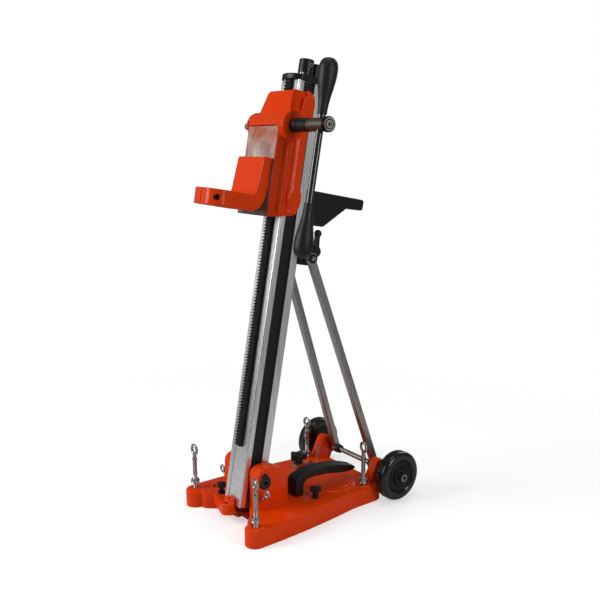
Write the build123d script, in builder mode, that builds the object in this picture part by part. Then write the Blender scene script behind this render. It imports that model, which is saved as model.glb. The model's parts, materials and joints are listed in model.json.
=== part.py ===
"""Core drill rig on a wheeled base, in millimetres. +Z is up, the drilling side faces -Y, the wheels are
at +Y and the feed handle is at +X. The origin is on the base's underside, in the middle of the base."""

from build123d import *
import math
import os

os.makedirs("parts", exist_ok=True)

# ---- driving dimensions -------------------------------------------------------------------------

# fits: parts that rest on one another, bores round pins and bolts, sleeves round the shaft
touch = 0.02
bore_fit = 0.05
sleeve_fit = 0.03

# base casting
base_top = 37.0
base_skin = 9.0
base_rear = 187.0
front_bolt = (118.0, -157.0)
rear_bolt = (101.0, 142.0)

# column pivot and its ears
pivot_y = -97.0
pivot_z = 96.0
pivot_radius = 7.0
pivot_bolt_end = 60.0
bush_radius = 10.8
plug_radius = 11.4
plug_hole = 4.0
sinking_depth = 12.0
lean = 10.6
ear_inner = 32.0
ear_outer = 64.0
ear_top = 125.0
ear_front = -114.0
ear_rear = -38.0

# column, in its own frame: u across, v to the rear, w along the column from the pivot
column_half = 30.0
column_foot = -64.0
column_top = 819.0
channel_front = -17.0
channel_rear = 11.0
channel_floor = 22.5
channel_middle = (channel_front + channel_rear) / 2
strip_depth = 1.6
cavity_half = 18.5
cavity_middle = -4.5
cavity_depth = 39.0
seat_half = 16.0
seat_depth = 1.5
slot_half = 6.0
slot_inner_half = 11.0

# rack and pinion
gear_module = 2.0
rack_half = 7.5
rack_bottom = 61.0
rack_top = 818.5
pinion_teeth = 18
pressure_angle = 20.0
backlash = 0.25
rack_tip_v = -40.0
pinion_w = 722.0
shaft_radius = 9.0
shaft_bush_radius = 12.0
stub_radius = 7.0

# carriage
carriage_bottom = 542.0
carriage_top = 796.0
carriage_half = 53.0
cheek_half = 59.5
plate_half = 50.5
plate_front = -80.0
plate_back = -70.0
plate_bottom = 540.5
plate_top = 717.0
shoulder_top = 741.0
boss_radius = 30.0
boss_face = 70.0
far_boss_radius = 27.0
far_boss_face = 58.0
stub_end = 94.0

# motor holder and clamp collar
collar_v = -152.0
collar_bore = 30.0
collar_half = 44.0
collar_corner = 30.0
collar_front = -202.0
collar_bottom = 546.0
collar_top = 578.0
holder_half = 46.0
holder_top = 654.0
clamp_screw_v = -188.0
clamp_screw_radius = 3.4

# feed handle
bar_u = 150.0
bar_radius = 7.0
grip_length = 104.0
grip_radius = 18.5
grip_end = 20.0
hub_radius = 13.0
sleeve_length = 50.0
sleeve_gap = 0.3
sleeve_step = 19.0
sleeve_radius = 14.2
sleeve_waist = 13.4
hub_end = boss_face + 99.4
end_ring_radius = 14.8
end_ring_depth = 8.0
bar_bottom = 471.0
bar_top = 845.0

# struts and their slider
axle_y = 207.0
axle_z = 57.0
axle_radius = 6.0
strut_half = 8.0
strut_foot_x = 68.5
strut_head_u = 46.0
slider_v = 50.0
slider_w = 469.0
lever_w = slider_w + 14.0

slider_bolt_radius = 4.0

# wheels
axle_end = 158.0
wheel_radius = 55.0
wheel_width = 30.0
wheel_x = 139.0

# carry handle on the base
carry_x = 45.0
carry_half = 15.5

# threads: knobs and clamp lever, levelling bolts, eye screws, small screws of the rack and the rear handle
knob_thread = 3.5
shank_radius = 5.0
eye_thread = 3.0
small_thread = 2.55

# ---- frames -------------------------------------------------------------------------------------

lean_sin = math.sin(math.radians(lean))
lean_cos = math.cos(math.radians(lean))
gear_pitch = math.pi * gear_module
pitch_radius = gear_module * pinion_teeth / 2
pinion_v = rack_tip_v + gear_module - pitch_radius


def spot(u, v, w):
    """The point at u, v, w in the column's own frame."""
    return Vector(u, pivot_y + v * lean_cos + w * lean_sin, pivot_z - v * lean_sin + w * lean_cos)


def across(w, u=0.0, v=0.0):
    """A plane across the column at height w: x is u, y is v."""
    return Plane(origin=spot(u, v, w), x_dir=(1, 0, 0), z_dir=(0, lean_sin, lean_cos))


def beside(u, v=0.0, w=0.0):
    """A plane along the column's side at u: x is v, y is w, and it faces +X."""
    return Plane(origin=spot(u, v, w), x_dir=(0, lean_cos, -lean_sin), z_dir=(1, 0, 0))


def before(v, u=0.0, w=0.0):
    """A plane along the column's front at v: x is u, y is w, and it faces the drilling side."""
    return Plane(origin=spot(u, v, w), x_dir=(1, 0, 0), z_dir=(0, -lean_cos, lean_sin))


def beside_base(x, y=0.0, z=0.0):
    """An upright plane at x: its x is Y, its y is Z, and it faces +X."""
    return Plane(origin=(x, y, z), x_dir=(0, 1, 0), z_dir=(1, 0, 0))


def save(builder, name):
    builder.part.label = name
    export_step(builder.part, f"parts/{name}.step")


# ---- base casting: sizes and the places of things that stand on it ------------------------------

web_top = 10.0
boss_y = -147.0
boss_radius_front = 15.5
front_hole = 5.2
rear_hole = 4.2
bracket_inner = 84.0
bracket_outer = 106.0
round_spot = (18, 96)

pointer_z = 15.0
pointer_radius = 3.5
wing_spot = (86, 19)
t_knob_spot = (-60, -126)
star_spot = (-60, 84)
fitting_spot = (-47, 108)
spare_spot = (-100.5, -118.5)
post_spot = (-77, 155)
sight_turn = 52.5


def eye_screw_plane(reach):
    """The plane where an eye screw enters the outer face of an ear, facing along the screw."""
    return Plane(origin=(reach * ear_outer, -106, 58), x_dir=(0, 1, 0), z_dir=(reach, 0, 1))


with BuildPart() as base_casting:
    with BuildSketch() as plan:
        with BuildLine():
            Polyline((0, -122), (62, -132), (83, -155), (94, -157))
            ThreePointArc((94, -157), (116, -179), (138, -157))
            TangentArc((138, -157), (119, 100), tangent=(0, 1))
            Line((119, 100), (119, base_rear - 22))
            TangentArc((119, base_rear - 22), (97, base_rear), tangent=(0, 1))
            Polyline((97, base_rear), (0, base_rear), (0, -122))
        make_face()
        mirror(about=Plane.YZ)
        inner_corners = plan.vertices().filter_by(lambda v: -156 < v.Y < -130)
        fillet(inner_corners, radius=8)
    extrude(amount=base_top)
    fillet(base_casting.faces().sort_by(Axis.Z)[-1].edges(), radius=4)
    # the casting is hollow underneath, inside a rim
    with BuildSketch():
        with BuildLine():
            Polyline((0, -30), (72, -30), (72, -122), (100, -128), (108, -53), (107, 60), (107, 172),
                     (0, 172), (0, -30))
        make_face()
        mirror(about=Plane.YZ)
    extrude(amount=base_top - base_skin, mode=Mode.SUBTRACT)
    # ribs across the hollow
    with BuildSketch(Plane.XY.offset(2)):
        with Locations((0, 32), (0, 100)):
            Rectangle(220, 7)
        with Locations((-48, 70), (48, 70)):
            Rectangle(7, 208)
    extrude(amount=base_top - base_skin)
    # posts that the levelling bolts screw through
    with BuildSketch():
        with Locations((-rear_bolt[0], rear_bolt[1]), rear_bolt):
            Circle(14)
    extrude(amount=base_top + 3)
    with BuildSketch():
        with Locations((-front_bolt[0], front_bolt[1]), front_bolt):
            Circle(15)
    extrude(amount=base_top + 1.5)
    # a raised oval on the deck, with a rim
    with BuildSketch(Plane.XY.offset(base_top - 1)):
        with Locations(round_spot):
            Ellipse(82, 64)
    extrude(amount=3.6, taper=50)
    with BuildSketch(Plane.XY.offset(base_top)):
        with Locations(round_spot):
            Ellipse(68, 50)
            Ellipse(61, 43, mode=Mode.SUBTRACT)
    extrude(amount=3.6)
    # ears that carry the column
    for ear_plane, reach in ((beside_base(ear_inner), 1), (beside_base(-ear_inner), -1)):
        with BuildSketch(ear_plane):
            with BuildLine():
                Polyline((ear_front, 3), (ear_front, ear_top - 16))
                ThreePointArc((ear_front, ear_top - 16), (ear_front + 5, ear_top - 4.5),
                              (ear_front + 18, ear_top + 0.5))
                ThreePointArc((ear_front + 18, ear_top + 0.5), (-85, ear_top + 1), (-74, ear_top - 1))
                ThreePointArc((-74, ear_top - 1), (-51, 112), (ear_rear - 3, 86))
                Polyline((ear_rear - 3, 86), (ear_rear, 30), (ear_rear, 3), (ear_front, 3))
            make_face()
        extrude(amount=reach * (ear_outer - ear_inner))
    # brackets for the wheel axle
    for bracket_plane, reach in ((beside_base(bracket_inner), 1), (beside_base(-bracket_inner), -1)):
        with BuildSketch(bracket_plane):
            with BuildLine():
                Polyline((150, 24), (156, base_top), (axle_y - 31, 78))
                ThreePointArc((axle_y - 31, 78), (axle_y - 22, 86), (axle_y - 10, 84))
                ThreePointArc((axle_y - 10, 84), (axle_y + 8, 72), (axle_y + 14, axle_z))
                ThreePointArc((axle_y + 14, axle_z), (axle_y + 10, axle_z - 10), (axle_y, axle_z - 14))
                Polyline((axle_y, axle_z - 14), (axle_y - 8, 24), (150, 24))
            make_face()
        extrude(amount=reach * (bracket_outer - bracket_inner))
    # the pocket for the column's foot, open to the front, above a thin web
    with BuildSketch(Plane.XY.offset(web_top)):
        with Locations((0, -92)):
            Rectangle(2 * ear_inner, 84)
    extrude(amount=200, mode=Mode.SUBTRACT)
    # notch beside the front boss, on the handle's side
    with BuildSketch():
        with BuildLine():
            Polyline((-2, -200), (-2, -112), (20, -112), (34, -116), (60, -133), (75, -200), (-2, -200))
        make_face()
    extrude(amount=60, mode=Mode.SUBTRACT)
    # wall from the far lobe to the front boss, and the boss in two steps
    with BuildSketch(Plane.XY.offset(14)):
        Polygon((-66, -128), (-66, -142), (-8, -158), (-8, -136), (-34, -134), (-34, -118), align=None)
    extrude(amount=base_top - 14)
    with BuildSketch(Plane.XY.offset(20)):
        with Locations((0, boss_y)):
            Circle(boss_radius_front)
        with Locations((-7, boss_y + 4)):
            Rectangle(16, 12)
    extrude(amount=25)
    with BuildSketch(Plane.XY.offset(40)):
        with Locations((0, -142)):
            Rectangle(2 * boss_radius_front - 4, 11)
    extrude(amount=13)
    with BuildSketch(Plane.XY.offset(15)):
        with Locations((0, -153)):
            Circle(front_hole)
        with Locations((0, -142.4)):
            Circle(rear_hole)
    extrude(amount=60, mode=Mode.SUBTRACT)
    # the column's front stays clear of the boss as it swings
    with BuildSketch(beside(0)):
        with BuildLine():
            Polyline((-column_half - 1.2, column_foot - 6), (60, column_foot - 6), (60, 40),
                     (-column_half - 1.2, 40), (-column_half - 1.2, column_foot - 6))
        make_face()
    extrude(amount=column_half + 1.5, both=True, mode=Mode.SUBTRACT)
    # pivot bores and the sinkings for their plugs
    with BuildSketch(beside_base(0, pivot_y, pivot_z)):
        Circle(pivot_radius + bore_fit)
    extrude(amount=80, both=True, mode=Mode.SUBTRACT)
    for sink_plane, reach in ((beside_base(ear_outer - sinking_depth, pivot_y, pivot_z), 1),
                              (beside_base(-(ear_outer - sinking_depth), pivot_y, pivot_z), -1)):
        with BuildSketch(sink_plane):
            Circle(plug_radius + 0.1)
        extrude(amount=reach * (sinking_depth + 2), mode=Mode.SUBTRACT)
    # axle bores
    with BuildSketch(beside_base(0, axle_y, axle_z)):
        Circle(axle_radius + sleeve_fit)
    extrude(amount=140, both=True, mode=Mode.SUBTRACT)
    # threaded holes for the levelling bolts
    with BuildSketch(Plane.XY.offset(-1)):
        with Locations((-rear_bolt[0], rear_bolt[1]), rear_bolt, (-front_bolt[0], front_bolt[1]),
                       front_bolt):
            Circle(shank_radius + bore_fit)
    extrude(amount=60, mode=Mode.SUBTRACT)
    # a pad at the middle of the underside, bored for the pointer rod
    with BuildSketch():
        Rectangle(44, 44)
    extrude(amount=base_top - 2)
    with BuildSketch(Plane(origin=(0, -60, pointer_z), x_dir=(1, 0, 0), z_dir=(0, 1, 0))):
        Circle(pointer_radius + bore_fit)
    extrude(amount=84, mode=Mode.SUBTRACT)
    # threaded holes of the small screws and knobs on the deck, and an empty one on the far side
    with BuildSketch(Plane.XY.offset(base_top - 22)):
        with Locations(wing_spot, t_knob_spot, star_spot):
            Circle(knob_thread + bore_fit)
        with Locations(spare_spot):
            Circle(5.2)
    extrude(amount=40, mode=Mode.SUBTRACT)
    with BuildSketch(Plane.XY.offset(base_top)):
        with Locations(star_spot):
            Rectangle(24.6, 26.6)
        with Locations(fitting_spot):
            Rectangle(23, 22)
    extrude(amount=10, mode=Mode.SUBTRACT)
    for eye_plane in (eye_screw_plane(1), eye_screw_plane(-1)):
        with BuildSketch(eye_plane):
            Circle(eye_thread + bore_fit)
        extrude(amount=16, both=True, mode=Mode.SUBTRACT)
save(base_casting, "base_casting")

# ---- column -------------------------------------------------------------------------------------

with BuildPart() as column_extrusion:
    with BuildSketch(across(column_foot)) as column_section:
        RectangleRounded(2 * column_half, 2 * column_half, 3)
        with Locations((0, -column_half)):
            Rectangle(2 * seat_half, 2 * seat_depth, mode=Mode.SUBTRACT)
        with Locations((-column_half, (channel_front + channel_rear) / 2),
                       (column_half, (channel_front + channel_rear) / 2)):
            Rectangle(2 * (column_half - channel_floor), channel_rear - channel_front, mode=Mode.SUBTRACT)
        with Locations((0, column_half)):
            Rectangle(2 * slot_half, 8, mode=Mode.SUBTRACT)
        with Locations((0, column_half - 7.5)):
            Rectangle(2 * slot_inner_half, 7, mode=Mode.SUBTRACT)
        with Locations((0, cavity_middle)):
            RectangleRounded(2 * cavity_half, cavity_depth, 4, mode=Mode.SUBTRACT)
    extrude(amount=column_top - column_foot)
    with BuildSketch(beside(0)):
        Circle(pivot_radius + bore_fit)
    extrude(amount=40, both=True, mode=Mode.SUBTRACT)
save(column_extrusion, "column_extrusion")

with BuildPart() as foot_insert:
    with BuildSketch(across(column_foot + 1)):
        with Locations((0, cavity_middle)):
            RectangleRounded(2 * cavity_half - 0.6, cavity_depth - 0.6, 3.7)
    extrude(amount=105)
    with BuildSketch(beside(0)):
        Circle(pivot_radius + bore_fit)
    extrude(amount=40, both=True, mode=Mode.SUBTRACT)
save(foot_insert, "foot_insert")

with BuildPart() as pivot_bushes:
    for side in (1, -1):
        with BuildSketch(beside(side * (channel_floor + touch))):
            Circle(bush_radius)
            Circle(pivot_radius + bore_fit, mode=Mode.SUBTRACT)
        extrude(amount=side * (ear_inner - 0.35 - channel_floor))
save(pivot_bushes, "pivot_bushes")

# the guide strips lie on the floors of the side channels, from the pivot bush to the cap
with BuildPart() as guide_strips:
    for side in (1, -1):
        with BuildSketch(beside(side * (channel_floor + touch))):
            with Locations((channel_middle, (column_top + 20) / 2)):
                Rectangle(channel_rear - channel_front - 0.4, column_top - 22)
        extrude(amount=side * strip_depth)
save(guide_strips, "guide_strips")

# rack: a bar with straight-flanked teeth that face the drilling side
rack_root_v = rack_tip_v + 2.25 * gear_module
rack_pitch_v = rack_tip_v + gear_module
flank = math.tan(math.radians(pressure_angle))


def rack_tooth(w):
    """Corner points of one rack tooth, centred at height w, as (v, w) pairs."""
    half = gear_pitch / 4 - backlash / 2
    tip = half - gear_module * flank
    root = half + 1.25 * gear_module * flank
    return [(rack_root_v, w - root), (rack_tip_v, w - tip), (rack_tip_v, w + tip), (rack_root_v, w + root)]


rack_screw_spots = [(0, rack_bottom + 22 + 141 * step) for step in range(6)]
first_tooth = rack_bottom + 4.0
teeth = int((rack_top - 4.0 - first_tooth) / gear_pitch) + 1
# a gap of the rack faces the pinion's lowest tooth at rest
tooth_shift = (pinion_w - first_tooth) % gear_pitch - gear_pitch / 2
rack_outline = [(-column_half + seat_depth, rack_bottom)]
rack_outline.append((rack_root_v, rack_bottom))
for count in range(teeth):
    rack_outline += rack_tooth(first_tooth + tooth_shift + count * gear_pitch)
rack_outline.append((rack_root_v, rack_top))
rack_outline.append((-column_half + seat_depth, rack_top))

with BuildPart() as rack:
    with BuildSketch(beside(-rack_half)):
        Polygon(*rack_outline, align=None)
    extrude(amount=2 * rack_half)
    with BuildSketch(before(-column_half + seat_depth)):
        with Locations(*rack_screw_spots):
            Circle(small_thread + bore_fit)
    extrude(amount=20, mode=Mode.SUBTRACT)
save(rack, "rack")

with BuildPart() as rack_screws:
    with BuildSketch(before(-column_half + seat_depth - 0.01)):
        with Locations(*rack_screw_spots):
            Circle(small_thread)
    extrude(amount=6.5)
save(rack_screws, "rack_screws")

# ---- column top ---------------------------------------------------------------------------------

jack_v = 4.5
jack_radius = 7.0
jack_bore = jack_radius + bore_fit
jack_head_radius = 15.5
jack_head = 36.5

with BuildPart() as cap_plate:
    with BuildSketch(across(column_top + touch)):
        with BuildLine():
            Polyline((-33, 38), (-33, -26))
            ThreePointArc((-33, -26), (0, -42), (33, -26))
            Polyline((33, -26), (33, 38), (-33, 38))
        make_face()
        with Locations((0, jack_v)):
            Circle(jack_bore, mode=Mode.SUBTRACT)
    extrude(amount=12)
    chamfer(cap_plate.faces().sort_by(Axis.Z)[-1].outer_wire().edges(), length=1.5)
    with BuildSketch(across(column_top - 40)):
        with Locations((0, cavity_middle)):
            RectangleRounded(2 * cavity_half - 0.6, cavity_depth - 0.6, 3.7)
        with Locations((0, jack_v)):
            Circle(jack_bore, mode=Mode.SUBTRACT)
    extrude(amount=40.1)
    # a round lug stands behind the jack screw's head
    with BuildSketch(across(column_top + 11)):
        with Locations((0, 30)):
            Circle(7.8)
    extrude(amount=34)
    chamfer(cap_plate.faces().sort_by(Axis.Z)[-1].edges(), length=1.2)
save(cap_plate, "cap_plate")

with BuildPart() as cap_screws:
    with BuildSketch(across(column_top + 12.04)):
        with Locations((-24, 26), (24, 26), (-24, -22), (24, -22)):
            Circle(4.5)
            RegularPolygon(2.4, 6, mode=Mode.SUBTRACT)
    extrude(amount=3.5)
save(cap_screws, "cap_screws")

with BuildPart() as jack_screw:
    with BuildSketch(across(column_top - 95, 0, jack_v)):
        Circle(jack_radius)
    extrude(amount=95 + 13)
    with BuildSketch(across(column_top + 12.3, 0, jack_v)):
        Circle(jack_head_radius)
    extrude(amount=jack_head)
    chamfer(jack_screw.faces().sort_by(Axis.Z)[-1].edges(), length=1.5)
    with BuildSketch(beside(0, jack_v, column_top + 37)):
        Circle(4.2)
    extrude(amount=20, both=True, mode=Mode.SUBTRACT)
save(jack_screw, "jack_screw")

# the bar that turns the jack screw is a short pin held in its cross hole
with BuildPart() as jack_pin:
    with BuildSketch(beside(-jack_head_radius - 1, jack_v, column_top + 37)):
        Circle(4.15)
    extrude(amount=2 * jack_head_radius + 2)
    with BuildSketch(beside(jack_head_radius + 1, jack_v, column_top + 37)):
        Circle(2.2)
    extrude(amount=-6, mode=Mode.SUBTRACT)
save(jack_pin, "jack_pin")

# ---- rear transport handle ----------------------------------------------------------------------

handle_half = 15.0
handle_top = 609.0
handle_foot = 537.0
handle_mid = (handle_top + handle_foot) / 2
flange_height = 70.0
flange_half = 27.0
flange_depth = 8.0
handle_screw_spots = ((-21, -24), (21, -24), (-21, 24), (21, 24))

with BuildPart() as rear_handle:
    with BuildSketch(beside(-handle_half)):
        with BuildLine():
            Polyline((column_half + touch, handle_top), (196, handle_top))
            ThreePointArc((196, handle_top), (200.5, 607), (202, 602))
            Polyline((202, 602), (202, 591))
            ThreePointArc((202, 591), (200, 586.5), (195, 585))
            Polyline((195, 585), (155, 584), (97, handle_foot), (column_half + touch, handle_foot),
                     (column_half + touch, handle_top))
        make_face()
    extrude(amount=2 * handle_half)
    # the flange that is screwed to the column
    with BuildSketch(before(column_half + touch, 0, handle_mid)):
        RectangleRounded(2 * flange_half, flange_height, 4)
    extrude(amount=-flange_depth)
    with BuildSketch(before(column_half + 20, 0, handle_mid)):
        with Locations(*handle_screw_spots):
            Circle(small_thread + bore_fit)
    extrude(amount=20, mode=Mode.SUBTRACT)
save(rear_handle, "rear_handle")

with BuildPart() as rear_handle_screws:
    for u, w in handle_screw_spots:
        with BuildSketch(before(column_half + flange_depth + bore_fit, u, handle_mid + w)):
            Circle(4.2)
            RegularPolygon(2.2, 6, mode=Mode.SUBTRACT)
        extrude(amount=-3.5)
        with BuildSketch(before(column_half + bore_fit, u, handle_mid + w)):
            Circle(small_thread)
        extrude(amount=-flange_depth)
save(rear_handle_screws, "rear_handle_screws")

# ---- carriage -----------------------------------------------------------------------------------

run_gap = 0.8
rib_v = -53.0
rib_half = 60.0

with BuildPart() as carriage_casting:
    with BuildSketch(beside(-carriage_half)):
        with BuildLine():
            Polyline((plate_back, carriage_bottom), (plate_back, plate_top), (plate_front, plate_top + 2),
                     (plate_front, 733))
            ThreePointArc((plate_front, 733), (-76, 740), (-66, 743))
            ThreePointArc((-66, 743), (-60, 746), (-58, 751))
            Polyline((-58, 751), (-51, 786))
            ThreePointArc((-51, 786), (-48, 793), (-41, carriage_top))
            Line((-41, carriage_top), (-18, carriage_top))
            ThreePointArc((-18, carriage_top), (-5, 790), (0, 776))
            Polyline((0, 776), (0, 742), (-9, 720), (-9, 560), (-14, 550), (-60, carriage_bottom),
                     (plate_back, carriage_bottom))
        make_face()
    extrude(amount=2 * carriage_half)
    # lips along both sides of the plate
    for side in (1, -1):
        with BuildSketch(beside(side * (plate_half + 0.15))):
            Polygon((plate_front + 0.6, plate_bottom), (plate_front + 0.6, plate_top + 4), (plate_back + 6,
                    plate_top + 4), (plate_back + 6, carriage_bottom), align=None)
        extrude(amount=side * (carriage_half - plate_half - 0.15))
    # the upper front narrows to the top
    for side in (1, -1):
        with BuildSketch(before(-95)):
            Polygon((side * (carriage_half + 0.2), 747), (side * (carriage_half + 0.2), 810),
                    (side * (carriage_half - 15), 810), (side * (carriage_half - 2), 752), align=None)
        extrude(amount=-75, mode=Mode.SUBTRACT)
    # a rounded rib runs up each side, and a cheek stands out behind it
    for side in (1, -1):
        with BuildSketch(across(548)):
            with BuildLine():
                ThreePointArc((side * (carriage_half - 2), rib_v - 10), (side * rib_half, rib_v),
                              (side * (carriage_half - 2), rib_v + 8))
                Line((side * (carriage_half - 2), rib_v + 8), (side * (carriage_half - 2), rib_v - 10))
            make_face()
        extrude(amount=165)
        with BuildSketch(across(553)):
            with BuildLine():
                Line((side * (carriage_half - 3), rib_v + 12), (side * (cheek_half - 4), rib_v + 13))
                ThreePointArc((side * (cheek_half - 4), rib_v + 13), (side * cheek_half, -29),
                              (side * cheek_half, -18))
                ThreePointArc((side * cheek_half, -18), (side * (cheek_half - 2), -12),
                              (side * (carriage_half - 3), -9.5))
                Line((side * (carriage_half - 3), -9.5), (side * (carriage_half - 3), rib_v + 12))
            make_face()
        extrude(amount=150)
        with BuildSketch(beside(side * (carriage_half - 1))):
            with BuildLine():
                Polyline((-38, 695), (-36, 745), (-31, 772))
                ThreePointArc((-31, 772), (-25, 784), (-14, 786))
                ThreePointArc((-14, 786), (-6, 782), (-3, 770))
                Polyline((-3, 770), (-3, 744), (-11, 724), (-11, 695), (-38, 695))
            make_face()
        extrude(amount=side * (cheek_half - carriage_half - 1))
    # bosses for the pinion shaft, the one on the handle's side is larger
    for side, face, radius in ((1, boss_face, boss_radius), (-1, far_boss_face, far_boss_radius)):
        with BuildSketch(beside(side * (carriage_half - 0.8), pinion_v, pinion_w)):
            Circle(radius)
        extrude(amount=side * (face - carriage_half + 0.8), taper=6)
    # a long swelling over the lower guide shoe on each side
    for side in (1, -1):
        for length, width, height in ((30, 19, 6), (26.5, 16, 8), (21, 12, 9.5)):
            with BuildSketch(beside(side * (carriage_half - 2), -23, 583)):
                Ellipse(width, length)
            extrude(amount=side * height)
    # room for the column, the rack and the pinion
    with BuildSketch(across(carriage_bottom - 20)):
        with Locations((0, 20)):
            Rectangle(2 * (column_half + run_gap), 2 * (column_half + 20 + run_gap))
        with Locations((0, -36)):
            Rectangle(2 * rack_half + 3, 14)
    extrude(amount=300, mode=Mode.SUBTRACT)
    with BuildSketch(beside(-rack_half - 1.5, pinion_v, pinion_w)):
        Circle(pitch_radius + gear_module + 1)
    extrude(amount=2 * rack_half + 3, mode=Mode.SUBTRACT)
    # seats of the two shaft bushes
    with BuildSketch(beside(0, pinion_v, pinion_w)):
        Circle(shaft_bush_radius)
    extrude(amount=120, both=True, mode=Mode.SUBTRACT)
save(carriage_casting, "carriage_casting")

with BuildPart() as carriage_plate:
    with BuildSketch(before(plate_back - touch)):
        with Locations((0, (plate_bottom + plate_top) / 2)):
            Rectangle(2 * plate_half, plate_top - plate_bottom)
    extrude(amount=plate_back - plate_front)
    with BuildSketch(beside(-rack_half - 1.5, pinion_v, pinion_w)):
        Circle(pitch_radius + gear_module + 1)
    extrude(amount=2 * rack_half + 3, mode=Mode.SUBTRACT)
save(carriage_plate, "carriage_plate")

# four guide shoes run in the column's side channels, set into the casting's inner walls
guide_w = (583.0, 748.0)
shoe_length = 34.0
shoe_depth = 6.4
with BuildPart() as guide_shoes:
    for side in (1, -1):
        for w in guide_w:
            with BuildSketch(beside(side * (channel_floor + strip_depth + 0.3))):
                with Locations((channel_middle, w)):
                    Rectangle(channel_rear - channel_front - 1, shoe_length)
            extrude(amount=side * shoe_depth)
save(guide_shoes, "guide_shoes")

# ---- motor holder and clamp collar --------------------------------------------------------------

with BuildPart() as motor_holder:
    with BuildSketch(across(collar_bottom)):
        with BuildLine():
            Polyline((0, plate_front - touch), (holder_half, plate_front - touch), (holder_half, -112),
                     (collar_half, -132), (collar_half, collar_front + collar_corner))
            TangentArc((collar_half, collar_front + collar_corner),
                       (collar_half - collar_corner, collar_front), tangent=(0, -1))
            Polyline((collar_half - collar_corner, collar_front), (0, collar_front), (0, plate_front - touch))
        make_face()
        mirror(about=Plane.YZ)
    extrude(amount=collar_top - collar_bottom)
    with BuildSketch(beside(-holder_half)):
        Polygon((plate_front - touch, collar_bottom), (plate_front - touch, holder_top), (-99, holder_top),
                (-106, 584), (-112, collar_top), (-112, collar_bottom), align=None)
    extrude(amount=2 * holder_half)
    fillet(motor_holder.edges().filter_by(lambda edge: edge.length > 60)
           .filter_by(Axis.X).group_by(Axis.Z)[-1], radius=5)
    # the lower rear corner is cut back in a long curve
    with BuildSketch(beside(-holder_half - 4)):
        with BuildLine():
            Polyline((plate_front + 1, collar_bottom - 1), (plate_front + 1, 592), (plate_front - 2, 590))
            ThreePointArc((plate_front - 2, 590), (-90, 561), (-112, collar_bottom - 1))
            Line((-112, collar_bottom - 1), (plate_front + 1, collar_bottom - 1))
        make_face()
    extrude(amount=2 * holder_half + 8, mode=Mode.SUBTRACT)
    with BuildSketch(across(collar_bottom - 1)):
        with Locations((0, collar_v)):
            Circle(collar_bore)
        with Locations((0, collar_front)):
            Rectangle(2, 48)
    extrude(amount=40, mode=Mode.SUBTRACT)
    # clamp screw hole across the slit, sunk on the handle's side
    clamp_w = (collar_bottom + collar_top) / 2
    with BuildSketch(beside(0, clamp_screw_v, clamp_w)):
        Circle(clamp_screw_radius + 0.1)
    extrude(amount=70, both=True, mode=Mode.SUBTRACT)
    with BuildSketch(beside(30, clamp_screw_v, clamp_w)):
        Circle(6)
    extrude(amount=30, mode=Mode.SUBTRACT)
    # bolt holes through the upright
    with BuildSketch(before(-78)):
        with Locations((-24, 620), (24, 620), (-24, 640), (24, 640)):
            Circle(knob_thread + bore_fit)
    extrude(amount=4, mode=Mode.SUBTRACT)
save(motor_holder, "motor_holder")

with BuildPart() as clamp_screw:
    with BuildSketch(beside(-36, clamp_screw_v, clamp_w)):
        Circle(clamp_screw_radius)
    extrude(amount=66)
    with BuildSketch(beside(30 + sleeve_fit, clamp_screw_v, clamp_w)):
        Circle(5.4)
        RegularPolygon(2.9, 6, mode=Mode.SUBTRACT)
    extrude(amount=4.5)
save(clamp_screw, "clamp_screw")

# ---- pinion and hub -----------------------------------------------------------------------------

base_circle = pitch_radius * math.cos(math.radians(pressure_angle))
tip_circle = pitch_radius + gear_module
root_circle = pitch_radius - 1.25 * gear_module


def involute(angle):
    """The polar angle that an involute has turned through where its roll angle is given."""
    return math.tan(angle) - angle


def pinion_flank():
    """Radius and half tooth angle along one flank, from the root to the tip."""
    half_at_pitch = math.pi / (2 * pinion_teeth) - backlash / (2 * pitch_radius)
    at_pitch = half_at_pitch + involute(math.radians(pressure_angle))
    flank_points = [(root_circle, at_pitch)]
    for step in range(6):
        radius = base_circle + (tip_circle - base_circle) * step / 5
        roll = math.acos(min(1.0, base_circle / radius))
        flank_points.append((radius, at_pitch - involute(roll)))
    return flank_points


def pinion_outline():
    """The gear's outline, with one tooth pointing at the rack."""
    outline = []
    for tooth in range(pinion_teeth):
        middle = 2 * math.pi * tooth / pinion_teeth
        for radius, half in pinion_flank():
            outline.append((radius * math.cos(middle - half), radius * math.sin(middle - half)))
        for radius, half in reversed(pinion_flank()):
            outline.append((radius * math.cos(middle + half), radius * math.sin(middle + half)))
    return outline


with BuildPart() as pinion_gear:
    with BuildSketch(beside(-rack_half, pinion_v, pinion_w)):
        Polygon(*pinion_outline(), align=None)
        Circle(shaft_radius + sleeve_fit, mode=Mode.SUBTRACT)
    extrude(amount=2 * rack_half)
save(pinion_gear, "pinion_gear")

with BuildPart() as pinion_shaft:
    with BuildSketch(beside(-far_boss_face - 2, pinion_v, pinion_w)):
        Circle(shaft_radius)
    extrude(amount=far_boss_face + 2 + boss_face + sleeve_length + sleeve_gap)
    with BuildSketch(beside(-far_boss_face - 2, pinion_v, pinion_w)):
        Circle(stub_radius)
    extrude(amount=-(stub_end - far_boss_face - 2))
save(pinion_shaft, "pinion_shaft")

with BuildPart() as shaft_bushes:
    for side, face in ((1, boss_face), (-1, far_boss_face)):
        with BuildSketch(beside(side * (rack_half + 1.6), pinion_v, pinion_w)):
            Circle(shaft_bush_radius)
            Circle(shaft_radius + 0.04, mode=Mode.SUBTRACT)
        extrude(amount=side * (face - rack_half - 1.6))
save(shaft_bushes, "shaft_bushes")

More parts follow.
